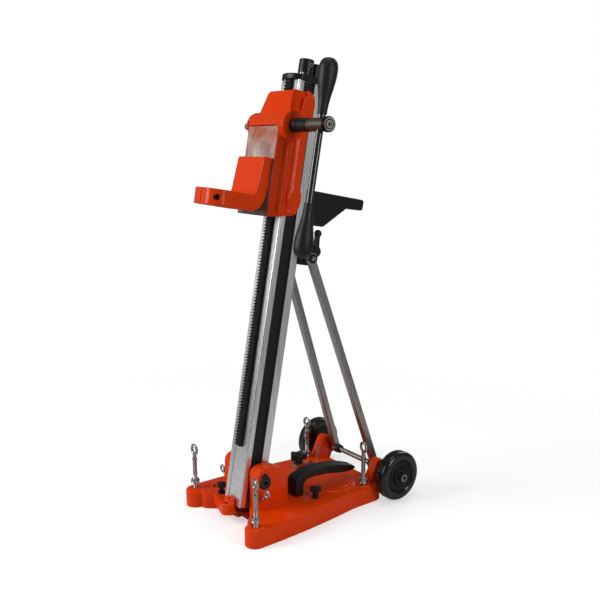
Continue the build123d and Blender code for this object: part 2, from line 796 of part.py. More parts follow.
# black sleeve beside the boss in two steps, then the steel hub that the feed handle slides in
with BuildPart() as hub_sleeve:
    with BuildSketch(beside(boss_face + sleeve_gap, pinion_v, pinion_w)):
        Circle(sleeve_radius)
        Circle(shaft_radius + sleeve_fit, mode=Mode.SUBTRACT)
    extrude(amount=sleeve_step)
    with BuildSketch(beside(boss_face + sleeve_gap + sleeve_step - 0.1, pinion_v, pinion_w)):
        Circle(sleeve_waist)
        Circle(shaft_radius + sleeve_fit, mode=Mode.SUBTRACT)
    extrude(amount=sleeve_length - sleeve_step + 0.1)
save(hub_sleeve, "hub_sleeve")

with BuildPart() as feed_hub:
    with BuildSketch(beside(boss_face + sleeve_length + sleeve_gap + 0.1, pinion_v, pinion_w)):
        Circle(hub_radius)
    extrude(amount=hub_end - boss_face - sleeve_length - sleeve_gap - 0.1)
    with BuildSketch(across(pinion_w, bar_u, pinion_v)):
        Circle(bar_radius + bore_fit)
    extrude(amount=30, both=True, mode=Mode.SUBTRACT)
save(feed_hub, "feed_hub")

with BuildPart() as hub_ring:
    with BuildSketch(beside(hub_end, pinion_v, pinion_w)):
        Circle(end_ring_radius)
        Circle(5.6, mode=Mode.SUBTRACT)
    extrude(amount=end_ring_depth)
    fillet(hub_ring.faces().sort_by(Axis.X)[-1].edges().sort_by(SortBy.LENGTH)[-1:], radius=2)
    with BuildSketch(beside(hub_end + end_ring_depth, pinion_v, pinion_w)):
        Circle(11)
        Circle(8, mode=Mode.SUBTRACT)
    extrude(amount=-1.2, mode=Mode.SUBTRACT)
save(hub_ring, "hub_ring")

with BuildPart() as hub_screw:
    with BuildSketch(beside(hub_end + touch, pinion_v, pinion_w)):
        Circle(5.5)
        RegularPolygon(2.9, 6, mode=Mode.SUBTRACT)
    extrude(amount=6.5)
save(hub_screw, "hub_screw")

with BuildPart() as feed_bar:
    with BuildSketch(across(bar_bottom + grip_end, bar_u, pinion_v)):
        Circle(bar_radius)
    extrude(amount=bar_top - bar_bottom - 2 * grip_end)
save(feed_bar, "feed_bar")


grip_socket = grip_length - grip_end + 0.2


def grip_profile(start, direction):
    """Half outline of a grip in (radius, w), narrow at start and thick towards its rounded end."""
    with BuildLine() as outline:
        Line((bar_radius + sleeve_fit, start), (9.2, start))
        Spline((9.2, start), (12.5, start + direction * 35), (grip_radius, start + direction * 78),
               (13.5, start + direction * 99), (0.01, start + direction * grip_length),
               tangents=((0, direction), (-1, 0)))
        Line((0.01, start + direction * grip_length), (0.01, start + direction * grip_socket))
        Polyline((0.01, start + direction * grip_socket),
                 (bar_radius + sleeve_fit, start + direction * grip_socket), (bar_radius + sleeve_fit, start))
    return outline.line


def grip_plane():
    return Plane(origin=spot(bar_u, pinion_v, 0), x_dir=(1, 0, 0), z_dir=(0, -lean_cos, lean_sin))


with BuildPart() as upper_grip:
    with BuildSketch(grip_plane()):
        add(grip_profile(bar_top - grip_length, 1))
        make_face()
    revolve(axis=Axis(spot(bar_u, pinion_v, 0), (0, lean_sin, lean_cos)))
save(upper_grip, "upper_grip")

with BuildPart() as lower_grip:
    with BuildSketch(grip_plane()):
        add(grip_profile(bar_bottom + grip_length, -1))
        make_face()
    revolve(axis=Axis(spot(bar_u, pinion_v, 0), (0, lean_sin, lean_cos)))
save(lower_grip, "lower_grip")

# ---- base hardware ------------------------------------------------------------------------------

with BuildPart() as pivot_bolt:
    with BuildSketch(beside_base(-pivot_bolt_end, pivot_y, pivot_z)):
        Circle(pivot_radius)
    extrude(amount=2 * pivot_bolt_end)
save(pivot_bolt, "pivot_bolt")

with BuildPart() as pivot_plugs:
    for reach in (1, -1):
        with BuildSketch(beside_base(reach * (ear_outer + sleeve_fit), pivot_y, pivot_z)):
            with BuildLine():
                ThreePointArc((-13, 1), (0, -14.5), (13, 1))
                ThreePointArc((13, 1), (9, 12), (0, 20))
                ThreePointArc((0, 20), (-9, 12), (-13, 1))
            make_face()
        extrude(amount=reach * 4, taper=10)
        with BuildSketch(beside_base(reach * (pivot_bolt_end + 0.1), pivot_y, pivot_z)):
            Circle(plug_radius)
        extrude(amount=reach * (ear_outer - pivot_bolt_end))
        with BuildSketch(beside_base(reach * (pivot_bolt_end + 2), pivot_y, pivot_z)):
            Circle(plug_hole)
        extrude(amount=reach * 8, mode=Mode.SUBTRACT)
save(pivot_plugs, "pivot_plugs")

# carry handle: a block on the deck with an arm that reaches back over the fingers
with BuildPart() as carry_handle:
    with BuildSketch(beside_base(carry_x - carry_half)):
        with BuildLine():
            Polyline((-13, base_top + touch), (-13, 70))
            ThreePointArc((-13, 70), (-10, 77), (-3, 81))
            Spline((-3, 81), (28, 87), (60, 87.5), (92, 84), (124, 76.5), (150, 67),
                   tangents=((1, 0.35), (1, -0.4)))
            ThreePointArc((150, 67), (154, 62.5), (150, 59.5))
            Spline((150, 59.5), (132, 58.6), (112, 61), (73, 68.5), (46, 71.5), (24, 71.5),
                   tangents=((-1, -0.1), (-1, -0.1)))
            ThreePointArc((24, 71.5), (11.5, 67.5), (6.5, 57))
            Polyline((6.5, 57), (6.5, base_top + touch), (-13, base_top + touch))
        make_face()
    extrude(amount=2 * carry_half)
save(carry_handle, "carry_handle")

# levelling bolts: ring head, threaded shank, a tip under the base
bolt_spots = {
    "front_near": front_bolt,
    "front_far": (-front_bolt[0], front_bolt[1]),
    "rear_near": rear_bolt,
    "rear_far": (-rear_bolt[0], rear_bolt[1]),
}
ring_turn = {"front_near": -15, "front_far": 0, "rear_near": -8, "rear_far": 0}
ring_z = 126.0
ring_radius = 10.0
ring_wire = 3.2
for corner, (bolt_x, bolt_y) in bolt_spots.items():
    with BuildPart() as level_bolt:
        with BuildSketch(Plane.XY.offset(4)):
            with Locations((bolt_x, bolt_y)):
                Circle(shank_radius)
        extrude(amount=ring_z - ring_radius - 4)
        with BuildSketch(Plane.XY.offset(1)):
            with Locations((bolt_x, bolt_y)):
                Circle(3.4)
        extrude(amount=3.5)
        with Locations(Location((bolt_x, bolt_y, ring_z), (90, ring_turn[corner], 0))):
            Torus(ring_radius, ring_wire)
        # a lock nut runs on the shank, on a washer at the rear
        nut_z = 50.0 if bolt_y < 0 else 47.2
        with BuildSketch(Plane.XY.offset(nut_z)):
            with Locations((bolt_x, bolt_y)):
                RegularPolygon(9.6, 6)
        extrude(amount=9)
        if bolt_y > 0:
            with BuildSketch(Plane.XY.offset(nut_z - 3)):
                with Locations((bolt_x, bolt_y)):
                    Circle(11)
            extrude(amount=3.5)
    save(level_bolt, f"level_bolt_{corner}")

# eye screws that lock the column's lean
for reach, screw_name in ((1, "eye_screw_near"), (-1, "eye_screw_far")):
    with BuildPart() as eye_screw:
        with BuildSketch(eye_screw_plane(reach)):
            Circle(eye_thread)
        extrude(amount=24)
        with BuildSketch(eye_screw_plane(reach)):
            Circle(eye_thread)
        extrude(amount=-14)
        ring_at = eye_screw_plane(reach).from_local_coords((0, 0, 30.5))
        with Locations(Location(ring_at, (90, 0, 0))):
            Torus(6.8, 2.2)
    save(eye_screw, screw_name)

with BuildPart() as t_knob:
    with BuildSketch(Plane.XY.offset(base_top - 20)):
        with Locations(t_knob_spot):
            Circle(knob_thread)
    extrude(amount=22)
    with BuildSketch(Plane.XY.offset(base_top + 0.3)):
        with Locations(t_knob_spot):
            Circle(8)
    extrude(amount=3.5)
    with BuildSketch(Plane.XY.offset(base_top + 3)):
        with Locations(t_knob_spot):
            Circle(5)
    extrude(amount=13)
    with BuildSketch(Plane.XY.offset(base_top + 14)):
        with Locations(Location((*t_knob_spot, 0), (0, 0, sight_turn))):
            RectangleRounded(18, 10, 4.5)
    extrude(amount=11)
    chamfer(t_knob.faces().sort_by(Axis.Z)[-1].edges(), length=1.5)
save(t_knob, "t_knob")

with BuildPart() as wing_screw:
    with BuildSketch(Plane.XY.offset(base_top - 20)):
        with Locations(wing_spot):
            Circle(knob_thread)
    extrude(amount=21)
    with BuildSketch(Plane.XY.offset(base_top + 0.3)):
        with Locations(wing_spot):
            Circle(6.5)
    extrude(amount=16)
    with BuildSketch(Plane.XY.offset(base_top + 15.5)):
        with Locations(Location((*wing_spot, 0), (0, 0, sight_turn))):
            RectangleRounded(24, 11, 5)
    extrude(amount=9)
    with BuildSketch(Plane.XY.offset(base_top + 24)):
        with Locations(wing_spot):
            Circle(5)
    extrude(amount=2.5)
save(wing_screw, "wing_screw")

# water valve on the deck: block, hose fitting with a red insert, and a star knob
with BuildPart() as valve_block:
    with BuildSketch(Plane.XY.offset(base_top + touch)):
        with Locations(star_spot):
            RectangleRounded(24, 26, 3)
            Circle(knob_thread + bore_fit, mode=Mode.SUBTRACT)
    extrude(amount=15)
save(valve_block, "valve_block")

with BuildPart() as star_knob:
    with BuildSketch(Plane.XY.offset(base_top - 20)):
        with Locations(star_spot):
            Circle(knob_thread)
    extrude(amount=38)
    with BuildSketch(Plane.XY.offset(base_top + 15.4)):
        with Locations(star_spot):
            Circle(10)
    extrude(amount=10)
    with BuildSketch(Plane.XY.offset(base_top + 25)):
        with Locations(star_spot):
            Circle(14)
            with PolarLocations(14.5, 5, start_angle=sight_turn):
                Circle(5.5)
    extrude(amount=12)
    with BuildSketch(Plane.XY.offset(base_top + 36)):
        with Locations(star_spot):
            Circle(8)
    extrude(amount=4)
    chamfer(star_knob.faces().sort_by(Axis.Z)[-1].edges(), length=1)
save(star_knob, "star_knob")

with BuildPart() as hose_fitting:
    with BuildSketch(Plane.XY.offset(base_top + touch)):
        with Locations(fitting_spot):
            RegularPolygon(10, 6)
            Circle(4.5, mode=Mode.SUBTRACT)
    extrude(amount=9)
    with BuildSketch(Plane.XY.offset(base_top + 8)):
        with Locations(fitting_spot):
            Circle(8.5)
            Circle(4.5, mode=Mode.SUBTRACT)
    extrude(amount=7)
save(hose_fitting, "hose_fitting")

with BuildPart() as hose_insert:
    with BuildSketch(Plane.XY.offset(base_top + 2)):
        with Locations(fitting_spot):
            Circle(4.45)
    extrude(amount=14)
save(hose_insert, "hose_insert")

with BuildPart() as rear_post:
    with BuildSketch(Plane.XY.offset(base_top + touch)):
        with Locations(post_spot):
            Circle(3)
    extrude(amount=35)
save(rear_post, "rear_post")

with BuildPart() as pointer_rod:
    with BuildSketch(Plane(origin=(0, 22, pointer_z), x_dir=(1, 0, 0), z_dir=(0, -1, 0))):
        Circle(pointer_radius)
    extrude(amount=165)
    chamfer(pointer_rod.faces().sort_by(Axis.Y)[0].edges(), length=1)
save(pointer_rod, "pointer_rod")

# ---- axle and wheels ----------------------------------------------------------------------------

with BuildPart() as wheel_axle:
    with BuildSketch(beside_base(-axle_end, axle_y, axle_z)):
        Circle(axle_radius)
    extrude(amount=2 * axle_end)
    for reach in (1, -1):
        with BuildSketch(beside_base(reach * axle_end, axle_y, axle_z)):
            Circle(4)
        extrude(amount=-reach * 14, mode=Mode.SUBTRACT)
save(wheel_axle, "wheel_axle")

with BuildPart() as axle_collars:
    for reach in (1, -1):
        for start in (bracket_inner - 7.2, 52.8):
            with BuildSketch(beside_base(reach * start, axle_y, axle_z)):
                Circle(10)
                Circle(axle_radius + touch, mode=Mode.SUBTRACT)
            extrude(amount=reach * 7)
        with BuildSketch(beside_base(reach * (bracket_outer + 0.1), axle_y, axle_z)):
            Circle(10)
            Circle(axle_radius + touch, mode=Mode.SUBTRACT)
        extrude(amount=reach * 12)
save(axle_collars, "axle_collars")

with BuildPart() as axle_caps:
    for reach in (1, -1):
        with BuildSketch(beside_base(reach * (axle_end - 0.6), axle_y, axle_z)):
            Circle(8.2)
            Circle(axle_radius + touch, mode=Mode.SUBTRACT)
        extrude(amount=reach * 6)
save(axle_caps, "axle_caps")

tyre_seat = 36.0
hub_rim = tyre_seat - sleeve_fit
hub_bore = axle_radius + bore_fit
hub_inner = wheel_x - wheel_width / 2
hub_outer = wheel_x + wheel_width / 2

for reach, side_name in ((1, "near"), (-1, "far")):
    with BuildPart() as tyre:
        with BuildSketch(Plane(origin=(0, axle_y, axle_z), x_dir=(1, 0, 0), z_dir=(0, -1, 0))):
            with Locations((reach * wheel_x, (wheel_radius + tyre_seat) / 2)):
                RectangleRounded(wheel_width, wheel_radius - tyre_seat, 5.5)
        revolve(axis=Axis((0, axle_y, axle_z), (1, 0, 0)))
    save(tyre, f"tyre_{side_name}")
    with BuildPart() as wheel_hub:
        with BuildSketch(Plane(origin=(0, axle_y, axle_z), x_dir=(1, 0, 0), z_dir=(0, -1, 0))):
            with BuildLine():
                Polyline((reach * hub_inner, hub_bore), (reach * hub_inner, hub_rim),
                         (reach * 126.5, hub_rim),
                         (reach * 127.5, 33), (reach * 134, 31), (reach * 144, 31), (reach * 150.5, 33),
                         (reach * 151.5, hub_rim), (reach * hub_outer, hub_rim), (reach * hub_outer, 33),
                         (reach * 149, 29), (reach * 149, 20), (reach * 153, 17), (reach * 157, 15),
                         (reach * 157, hub_bore), (reach * hub_inner, hub_bore))
            make_face()
        revolve(axis=Axis((0, axle_y, axle_z), (1, 0, 0)))
    save(wheel_hub, f"wheel_hub_{side_name}")

# ---- braces -------------------------------------------------------------------------------------

foot_eye = 11.0
head_eye = 12.0
head_bore = 6.5

for reach, side_name in ((1, "near"), (-1, "far")):
    foot = Vector(reach * strut_foot_x, axle_y, axle_z)
    head = spot(reach * strut_head_u, slider_v, slider_w)
    along = (head - foot).normalized()
    with BuildPart() as strut:
        with BuildSketch(Plane(origin=foot, x_dir=Vector(1, 0, 0) - along * along.X, z_dir=along)):
            RectangleRounded(2 * strut_half, 2 * strut_half, 3)
        extrude(amount=(head - foot).length)
        with BuildSketch(beside_base(foot.X - strut_half, axle_y, axle_z)):
            Circle(foot_eye)
        extrude(amount=2 * strut_half)
        with BuildSketch(beside(head.X - strut_half, slider_v, slider_w)):
            Circle(head_eye)
        extrude(amount=2 * strut_half)
        with BuildSketch(beside_base(foot.X - 20, axle_y, axle_z)):
            Circle(axle_radius + bore_fit)
        extrude(amount=40, mode=Mode.SUBTRACT)
        with BuildSketch(beside(head.X - 20, slider_v, slider_w)):
            Circle(head_bore)
        extrude(amount=40, mode=Mode.SUBTRACT)
    save(strut, f"strut_{side_name}")

slider_front = column_half + 0.4
slider_rear = 68.0
slider_half = 37.0
slider_foot = slider_w - 16.0
slider_height = 38.0

with BuildPart() as slider_bracket:
    with BuildSketch(across(slider_foot)):
        with Locations((0, (slider_front + slider_rear) / 2)):
            RectangleRounded(2 * slider_half, slider_rear - slider_front, 4)
    extrude(amount=slider_height)
    with BuildSketch(across(slider_foot)):
        with Locations((0, column_half - 2)):
            Rectangle(2 * slot_half - 1, 6)
        with Locations((0, column_half - 7.5)):
            Rectangle(2 * slot_inner_half - 1, 6)
    extrude(amount=slider_height)
    with BuildSketch(beside(0, slider_v, slider_w)):
        Circle(slider_bolt_radius + bore_fit)
    extrude(amount=60, both=True, mode=Mode.SUBTRACT)
    with BuildSketch(before(slider_v + 20, 0, lever_w)):
        Circle(knob_thread + bore_fit)
    extrude(amount=24, mode=Mode.SUBTRACT)
save(slider_bracket, "slider_bracket")

with BuildPart() as slider_bolts:
    for reach in (1, -1):
        with BuildSketch(beside(reach * 20, slider_v, slider_w)):
            Circle(slider_bolt_radius)
        extrude(amount=reach * 37)
        with BuildSketch(beside(reach * 56.2, slider_v, slider_w)):
            Circle(5.2)
        extrude(amount=reach * 4, taper=25)
save(slider_bolts, "slider_bolts")

with BuildPart() as brace_washers:
    for reach in (1, -1):
        with BuildSketch(beside(reach * 54.9, slider_v, slider_w)):
            Circle(9.8)
            Circle(slider_bolt_radius + touch, mode=Mode.SUBTRACT)
        extrude(amount=reach * 1.2)
save(brace_washers, "brace_washers")

with BuildPart() as clamp_lever:
    with BuildSketch(before(106, 0, lever_w)):
        Circle(11.5)
    extrude(amount=37.6)
    chamfer(clamp_lever.faces().sort_by(Axis.Y)[-1].edges(), length=3)
    with BuildSketch(before(70, 0, lever_w)):
        Circle(knob_thread)
    extrude(amount=16)
    with BuildSketch(before(101.5, 0, lever_w)):
        with BuildLine():
            Polyline((-8, 0), (8, 0), (4.6, 24), (4.6, 36), (-4.6, 36), (-4.6, 24), (-8, 0))
        make_face()
    extrude(amount=9)
    with Locations(Location(spot(0, 97.5, lever_w + 39))):
        Sphere(8.2)
save(clamp_lever, "clamp_lever")
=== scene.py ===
"""Looks of the core drill rig: materials, rounded castings, turned details, studio and camera."""

import json
import math

import bmesh
import bpy
from mathutils import Matrix, Vector


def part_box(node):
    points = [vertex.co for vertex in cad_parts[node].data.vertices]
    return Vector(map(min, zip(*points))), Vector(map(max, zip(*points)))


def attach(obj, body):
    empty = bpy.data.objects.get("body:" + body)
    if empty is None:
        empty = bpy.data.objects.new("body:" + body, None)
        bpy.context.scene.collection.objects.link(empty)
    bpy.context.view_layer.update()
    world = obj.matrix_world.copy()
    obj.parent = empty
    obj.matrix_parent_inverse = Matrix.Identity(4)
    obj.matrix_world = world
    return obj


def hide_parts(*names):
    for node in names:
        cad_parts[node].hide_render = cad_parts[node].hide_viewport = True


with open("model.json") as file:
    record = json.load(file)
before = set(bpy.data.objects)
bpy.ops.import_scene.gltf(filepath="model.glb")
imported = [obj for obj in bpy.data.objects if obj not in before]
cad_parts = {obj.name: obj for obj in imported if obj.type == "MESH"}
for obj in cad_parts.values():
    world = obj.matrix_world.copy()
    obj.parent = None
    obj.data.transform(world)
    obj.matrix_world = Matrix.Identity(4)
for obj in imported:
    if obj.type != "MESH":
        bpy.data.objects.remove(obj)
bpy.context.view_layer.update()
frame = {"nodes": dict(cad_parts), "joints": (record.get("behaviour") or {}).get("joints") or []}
nodes = frame["nodes"]
joints = {joint["name"]: joint for joint in frame["joints"]}

MM = 0.001

# ---- places and sizes, in metres ----------------------------------------------------------------

# the column's lean at rest, the braces' lean and the wheel axle's middle
COLUMN_LEAN = math.radians(joints["column tilt"]["range_deg"][1])
BRACE_LEAN = -0.36
AXLE = Vector(joints["brace swing"]["pos_m"])

# heights on the carriage's plate: rusty stains above, painted shade darkening the bottom end
STAIN_LOW, STAIN_HIGH = 0.70, 0.80
SHADE_LOW, SHADE_HIGH = 0.640, 0.665

# on the end ring of the feed hub: the bright bore's radius, the bright band's radii, how soft they end
RING_BORE = 7.7 * MM
RING_BAND_INNER, RING_BAND_OUTER = 9.9 * MM, 12.5 * MM
RING_SOFT = 0.3 * MM


def middle(node):
    """The middle of a CAD node's box."""
    low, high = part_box(node)
    return (Vector(low) + Vector(high)) / 2


def size(node):
    """The size of a CAD node's box along x, y and z."""
    low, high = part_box(node)
    return Vector(high) - Vector(low)


# ---- materials ----------------------------------------------------------------------------------

class Paints:
    """Builds one node material with small helpers for noise, bands and bumps."""

    def __init__(self, name, color, roughness, metallic=0.0):
        self.material = bpy.data.materials.new(name)
        self.material.use_nodes = True
        self.tree = self.material.node_tree
        self.tree.nodes.clear()
        self.shader = self.tree.nodes.new("ShaderNodeBsdfPrincipled")
        output = self.tree.nodes.new("ShaderNodeOutputMaterial")
        self.link(self.shader.outputs["BSDF"], output.inputs["Surface"])
        self.set("Base Color", (*color, 1.0))
        self.set("Roughness", roughness)
        self.set("Metallic", metallic)
        self.place = self.tree.nodes.new("ShaderNodeTexCoord").outputs["Object"]

    def link(self, source, target):
        self.tree.links.new(source, target)

    def set(self, socket, value):
        """Gives a socket of the shader a value that is the same all over the surface."""
        self.shader.inputs[socket].default_value = value

    def stretched(self, scale, turned=(0.0, 0.0, 0.0)):
        """Coordinates stretched along the axes, to draw out noise into streaks."""
        mapping = self.tree.nodes.new("ShaderNodeMapping")
        mapping.inputs["Scale"].default_value = scale
        mapping.inputs["Rotation"].default_value = turned
        self.link(self.place, mapping.inputs["Vector"])
        return mapping.outputs["Vector"]

    def noise(self, scale, detail, where=None, roughness=0.55):
        node = self.tree.nodes.new("ShaderNodeTexNoise")
        node.inputs["Scale"].default_value = scale
        node.inputs["Detail"].default_value = detail
        node.inputs["Roughness"].default_value = roughness
        self.link(where or self.place, node.inputs["Vector"])
        return node.outputs["Fac"]

    def cells(self, scale):
        """Distance to the nearest cell middle, for a pebbled grain."""
        node = self.tree.nodes.new("ShaderNodeTexVoronoi")
        node.inputs["Scale"].default_value = scale
        self.link(self.place, node.inputs["Vector"])
        return node.outputs["Distance"]

    def distance(self, point):
        """Distance from a point in the object's coordinates."""
        node = self.tree.nodes.new("ShaderNodeVectorMath")
        node.operation = "DISTANCE"
        node.inputs[1].default_value = point
        self.link(self.place, node.inputs[0])
        return node.outputs["Value"]

    def band(self, value, low, high, to_low=0.0, to_high=1.0):
        """A value between low and high spread over to_low to to_high, and held at those beyond them."""
        node = self.tree.nodes.new("ShaderNodeMapRange")
        node.inputs["From Min"].default_value = low
        node.inputs["From Max"].default_value = high
        node.inputs["To Min"].default_value = to_low
        node.inputs["To Max"].default_value = to_high
        self.link(value, node.inputs["Value"])
        return node.outputs["Result"]

    def math(self, kind, a, b):
        """Arithmetic on two values, each a number or a socket."""
        node = self.tree.nodes.new("ShaderNodeMath")
        node.operation = kind
        for socket, value in zip(node.inputs, (a, b)):
            if isinstance(value, float):
                socket.default_value = value
            else:
                self.link(value, socket)
        return node.outputs["Value"]

    def mix(self, factor, a, b):
        """A colour between a and b, each a colour or a socket."""
        node = self.tree.nodes.new("ShaderNodeMix")
        node.data_type = "RGBA"
        # a mix node has sockets of one name for each data type: its colours are the seventh and eighth
        self.link(factor, node.inputs[0])
        for socket, value in ((node.inputs[6], a), (node.inputs[7], b)):
            if isinstance(value, tuple):
                socket.default_value = (*value, 1.0)
            else:
                self.link(value, socket)
        return node.outputs[2]

    def color(self, socket):
        self.link(socket, self.shader.inputs["Base Color"])

    def roughness(self, value, low, high, smoothest, roughest):
        """Roughness that follows a value from its low to its high."""
        self.link(self.band(value, low, high, smoothest, roughest), self.shader.inputs["Roughness"])

    def bump(self, height, strength, distance):
        """Adds a bump on top of the ones already there."""
        node = self.tree.nodes.new("ShaderNodeBump")
        node.inputs["Strength"].default_value = strength
        node.inputs["Distance"].default_value = distance
        self.link(height, node.inputs["Height"])
        before = self.shader.inputs["Normal"].links
        if before:
            self.link(before[0].from_socket, node.inputs["Normal"])
        self.link(node.outputs["Normal"], self.shader.inputs["Normal"])

    def worn_edges(self):
        """A mask that is high along outward edges, from the mesh's pointiness."""
        point = self.tree.nodes.new("ShaderNodeNewGeometry").outputs["Pointiness"]
        return self.band(point, 0.53, 0.62)


def orange_paint():
    """Thick gloss powder coat over a casting: slight waviness, orange peel and settled dust."""
    p = Paints("orange_powder_coat", (0.80, 0.052, 0.001), 0.28)
    deep, bright, dust = (0.74, 0.042, 0.001), (0.86, 0.060, 0.001), (0.55, 0.10, 0.03)
    tone = p.mix(p.noise(9.0, 3.0), deep, bright)
    dusty = p.band(p.noise(60.0, 3.0), 0.55, 0.85, 0.0, 0.08)
    p.color(p.mix(dusty, tone, dust))
    p.roughness(p.noise(26.0, 4.0), 0.35, 0.75, 0.20, 0.36)
    p.bump(p.noise(420.0, 2.0), strength=0.10, distance=0.0004)
    p.bump(p.noise(40.0, 2.0), strength=0.12, distance=0.0012)
    p.set("Coat Weight", 0.34)
    p.set("Coat IOR", 1.38)
    p.set("Coat Roughness", 0.05)
    p.set("Specular IOR Level", 0.06)
    return p.material


def zinc_steel():
    """Zinc plated steel with a cloudy passivation and a fine grain."""
    p = Paints("zinc_plated_steel", (0.55, 0.54, 0.51), 0.3, 1.0)
    dark, light = (0.24, 0.23, 0.21), (0.52, 0.50, 0.47)
    p.color(p.mix(p.noise(70.0, 5.0), dark, light))
    p.roughness(p.noise(160.0, 4.0), 0.3, 0.7, 0.20, 0.40)
    p.bump(p.noise(500.0, 3.0), strength=0.10, distance=0.0003)
    return p.material


def drawn_aluminium(name, lean, light, dark):
    """Extruded aluminium: long die lines along the leaning profile, faint clouds and scuffs."""
    p = Paints(name, light, 0.32, 1.0)
    turned = (lean, 0.0, 0.0)
    scuffed = (0.40, 0.38, 0.36)
    lines = p.noise(1.0, 3.0, p.stretched((520.0, 520.0, 1.6), turned), roughness=0.6)
    tone = p.mix(p.band(lines, 0.35, 0.68), dark, light)
    scuff = p.band(p.noise(34.0, 6.0, p.stretched((1.0, 1.0, 0.22), turned)), 0.66, 0.74)
    p.color(p.mix(p.math("MULTIPLY", scuff, 0.25), tone, scuffed))
    cloud = p.band(p.noise(7.0, 4.0), 0.3, 0.8, 0.0, 0.08)
    rough = p.math("ADD", p.band(lines, 0.3, 0.7, 0.22, 0.36), cloud)
    p.link(rough, p.shader.inputs["Roughness"])
    p.bump(lines, strength=0.10, distance=0.0003)
    return p.material


def mill_plate():
    """Bare ground steel plate: blotched, specked, smeared with orange above and darkened below by painted
    shade.
    """
    p = Paints("bare_mill_plate", (0.40, 0.36, 0.35), 0.45, 0.75)
    stained, bare, specked = (0.26, 0.17, 0.14), (0.50, 0.42, 0.38), (0.14, 0.08, 0.07)
    # the second colour is painted shade for the plate's bottom end
    smeared, painted_shade = (0.36, 0.075, 0.03), (0.045, 0.030, 0.030)
    split = p.tree.nodes.new("ShaderNodeSeparateXYZ")
    p.link(p.place, split.inputs["Vector"])
    height = split.outputs["Z"]
    tone = p.mix(p.band(p.noise(30.0, 5.0), 0.35, 0.65), stained, bare)
    speck = p.band(p.noise(210.0, 3.0), 0.58, 0.70)
    tone = p.mix(p.math("MULTIPLY", speck, 0.6), tone, specked)
    upper = p.band(height, STAIN_LOW, STAIN_HIGH)
    smear = p.band(p.math("MULTIPLY", upper, p.noise(34.0, 4.0)), 0.30, 0.62)
    tone = p.mix(p.math("MULTIPLY", smear, 0.85), tone, smeared)
    # painted shade: the plate's colour darkens towards its bottom end
    lower = p.band(height, SHADE_LOW, SHADE_HIGH, 0.85, 0.0)
    p.color(p.mix(lower, tone, painted_shade))
    p.roughness(p.noise(90.0, 4.0), 0.3, 0.7, 0.34, 0.58)
    p.bump(p.noise(260.0, 4.0), strength=0.20, distance=0.0004)
    return p.material


def black_oxide():
    """Blackened steel with an oiled sheen."""
    p = Paints("black_oxide_steel", (0.012, 0.012, 0.012), 0.34)
    dark, light = (0.004, 0.004, 0.004), (0.014, 0.014, 0.013)
    p.set("Specular IOR Level", 0.28)
    p.color(p.mix(p.noise(60.0, 4.0), dark, light))
    p.roughness(p.noise(130.0, 4.0), 0.3, 0.7, 0.24, 0.44)
    p.bump(p.noise(420.0, 3.0), strength=0.12, distance=0.0003)
    return p.material


def rack_black():
    """Black rack steel: dry on the flanks with a grey rub along the worked tips."""
    p = Paints("rack_black", (0.008, 0.008, 0.007), 0.42)
    black, rubbed = (0.004, 0.004, 0.004), (0.05, 0.05, 0.047)
    p.set("Specular IOR Level", 0.18)
    rub = p.math("MULTIPLY", p.worn_edges(), p.noise(120.0, 3.0))
    p.color(p.mix(rub, black, rubbed))
    p.roughness(p.noise(200.0, 3.0), 0.3, 0.7, 0.34, 0.52)
    p.bump(p.noise(600.0, 2.0), strength=0.10, distance=0.0002)
    return p.material


def hub_steel():
    """Oiled, browned steel with turning marks round the hub."""
    p = Paints("browned_hub_steel", (0.10, 0.075, 0.062), 0.36, 0.85)
    dark, light = (0.075, 0.055, 0.045), (0.19, 0.145, 0.12)
    marks = p.noise(1.0, 3.0, p.stretched((900.0, 6.0, 6.0)))
    p.color(p.mix(marks, dark, light))
    p.roughness(p.noise(60.0, 4.0), 0.3, 0.7, 0.28, 0.46)
    p.bump(marks, strength=0.16, distance=0.0002)
    return p.material


def end_ring():
    """A blackened ring whose outer face is turned bright round its bore and in one band."""
    p = Paints("turned_end_ring", (0.3, 0.3, 0.29), 0.3, 1.0)
    black, dull, polished = (0.020, 0.019, 0.018), (0.34, 0.33, 0.31), (0.74, 0.73, 0.70)
    face_middle = middle("hub_ring") + Vector((size("hub_ring").x / 2, 0.0, 0.0))
    radius = p.distance(face_middle)

    def inside(edge):
        return p.band(radius, edge - RING_SOFT, edge + RING_SOFT, 1.0, 0.0)

    beyond_inner = p.band(radius, RING_BAND_INNER - RING_SOFT, RING_BAND_INNER + RING_SOFT)
    bright_band = p.math("MULTIPLY", beyond_inner, inside(RING_BAND_OUTER))
    bright = p.math("MAXIMUM", inside(RING_BORE), bright_band)
    cloud = p.mix(p.noise(180.0, 4.0), dull, polished)
    p.color(p.mix(bright, black, cloud))
    p.roughness(p.noise(150.0, 3.0), 0.3, 0.7, 0.22, 0.38)
    p.bump(p.noise(500.0, 3.0), strength=0.12, distance=0.0002)
    return p.material


def black_plastic():
    """Moulded black nylon with a fine leathery grain."""
    p = Paints("moulded_black_nylon", (0.012, 0.012, 0.013), 0.46)
    dark, light = (0.006, 0.006, 0.006), (0.013, 0.013, 0.013)
    p.set("Specular IOR Level", 0.35)
    p.color(p.mix(p.noise(24.0, 3.0), dark, light))
    p.roughness(p.noise(40.0, 4.0), 0.3, 0.7, 0.38, 0.56)
    p.bump(p.cells(1500.0), strength=0.22, distance=0.0002)
    return p.material


def gloss_black():
    """Gloss black enamel on a turned bar."""
    p = Paints("gloss_black_bar", (0.010, 0.010, 0.010), 0.16)
    dark, light = (0.006, 0.006, 0.006), (0.016, 0.016, 0.016)
    p.color(p.mix(p.noise(30.0, 3.0), dark, light))
    p.roughness(p.noise(70.0, 4.0), 0.3, 0.75, 0.12, 0.26)
    p.bump(p.noise(90.0, 2.0), strength=0.05, distance=0.0004)
    p.set("Coat Weight", 0.6)
    p.set("Coat Roughness", 0.06)
    return p.material


